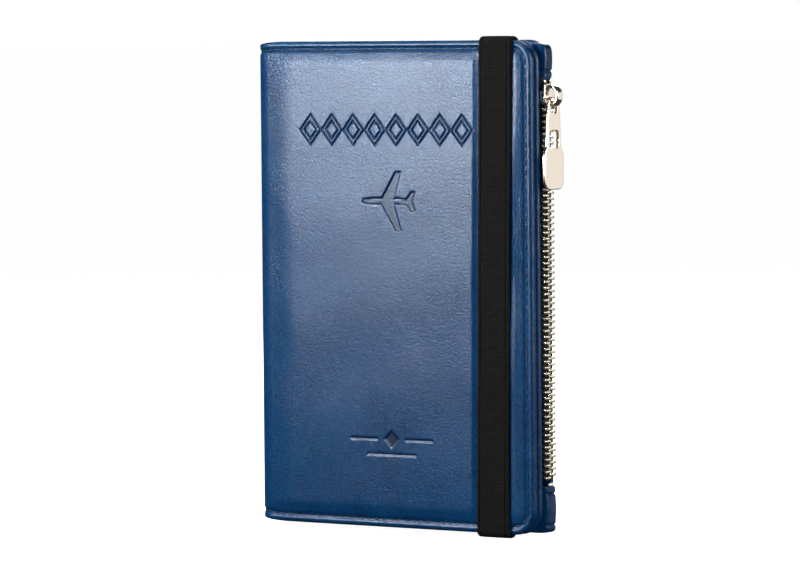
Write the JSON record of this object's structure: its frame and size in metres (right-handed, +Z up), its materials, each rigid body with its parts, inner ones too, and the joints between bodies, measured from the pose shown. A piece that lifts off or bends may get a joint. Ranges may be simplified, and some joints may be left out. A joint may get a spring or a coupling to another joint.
{
  "type": "passport holder wallet",
  "caption": "Padded leather passport wallet with a folded spine, card slots, a zipped pocket with a swinging pull tab, and an elastic band that holds it shut.",
  "frame": {"origin": "centre of the footprint at ground level, wallet standing on its foot edge, closed", "axes": "+Z up along the spine, +X from the spine to the zipped fore edge, -Y out of the front cover"},
  "size_m": [0.107, 0.0142, 0.1473],
  "materials": {
    "blue_leather": "waxed, fine creased grain, satin",
    "navy_lining": "fine woven twill",
    "stiffener": "matte",
    "padding": "soft foam",
    "black_elastic": "ribbed woven elastic",
    "black_tape": "woven zipper tape",
    "gold_teeth": "polished",
    "pale_gold": "polished pale gold plating"
  },
  "bodies": {
    "back_half": {"back_cover_leather": "blue_leather", "back_cover_board": "stiffener", "back_cover_foam": "padding", "pocket_lining_back": "navy_lining", "pocket_lining_front": "navy_lining", "card_panel_board": "stiffener", "card_panel_leather": "blue_leather", "card_slot_upper": "blue_leather", "card_slot_middle": "blue_leather", "card_slot_lower": "blue_leather", "pocket_gusset": "navy_lining", "zipper_end_tab_top": "blue_leather", "zipper_end_tab_bottom": "blue_leather", "zipper_bottom_stop": "gold_teeth", "elastic_top_wrap": "black_elastic", "elastic_bottom_wrap": "black_elastic"},
    "spine": {"spine_leather": "blue_leather", "spine_lining": "navy_lining"},
    "front_cover": {"front_cover_leather": "blue_leather", "front_cover_foam": "padding", "front_cover_board": "stiffener", "front_cover_lining": "navy_lining", "passport_sleeve": "blue_leather"},
    "strap": {"elastic_front_run": "black_elastic"},
    "slider": {"slider_body": "pale_gold", "slider_bail": "pale_gold"},
    "pull_tab": {"pull_tab": "pale_gold"},
    "zip_lip_front": {"zipper_tape_front": "black_tape", "zipper_teeth_front": "gold_teeth", "zipper_top_stop_front": "gold_teeth"},
    "zip_lip_back": {"zipper_tape_back": "black_tape", "zipper_teeth_back": "gold_teeth", "zipper_top_stop_back": "gold_teeth"}
  },
  "joints": [
    {"name": "back_fold", "type": "hinge", "parent": "back_half", "child": "spine", "pos_m": [-0.05157, 0.0051, 0.07365], "axis": [0, 0, -1], "range_deg": [0, 90]},
    {"name": "front_fold", "type": "hinge", "parent": "spine", "child": "front_cover", "pos_m": [-0.05157, -0.0041, 0.07365], "axis": [0, 0, -1], "range_deg": [0, 90]},
    {"name": "elastic_pull", "type": "slide", "parent": "back_half", "child": "strap", "axis": [1, 0, 0], "range_m": [0, 0.036], "stiffness_N_per_m": 60, "deforming": ["elastic_front_run"]},
    {"name": "zip_slide", "type": "slide", "parent": "back_half", "child": "slider", "axis": [0, 0, -1], "range_m": [0, 0.108]},
    {"name": "pull_swing", "type": "hinge", "parent": "slider", "child": "pull_tab", "pos_m": [0.05058, 0.00225, 0.12965], "axis": [0, -1, 0], "range_deg": [0, 170]},
    {"name": "lip_front_open", "type": "slide", "parent": "back_half", "child": "zip_lip_front", "axis": [0, -1, 0], "range_m": [0, 0.001], "deforming": ["zipper_tape_front", "zipper_teeth_front", "zipper_top_stop_front"]},
    {"name": "lip_back_open", "type": "slide", "parent": "back_half", "child": "zip_lip_back", "axis": [0, 1, 0], "range_m": [0, 0.001], "deforming": ["zipper_tape_back", "zipper_teeth_back", "zipper_top_stop_back"]}
  ],
  "couplings": [
    {"joint": "front_fold", "follows": "back_fold", "ratio": 1},
    {"joint": "lip_front_open", "follows": "zip_slide", "ratio": 0.00925},
    {"joint": "lip_back_open", "follows": "zip_slide", "ratio": 0.00925}
  ]
}
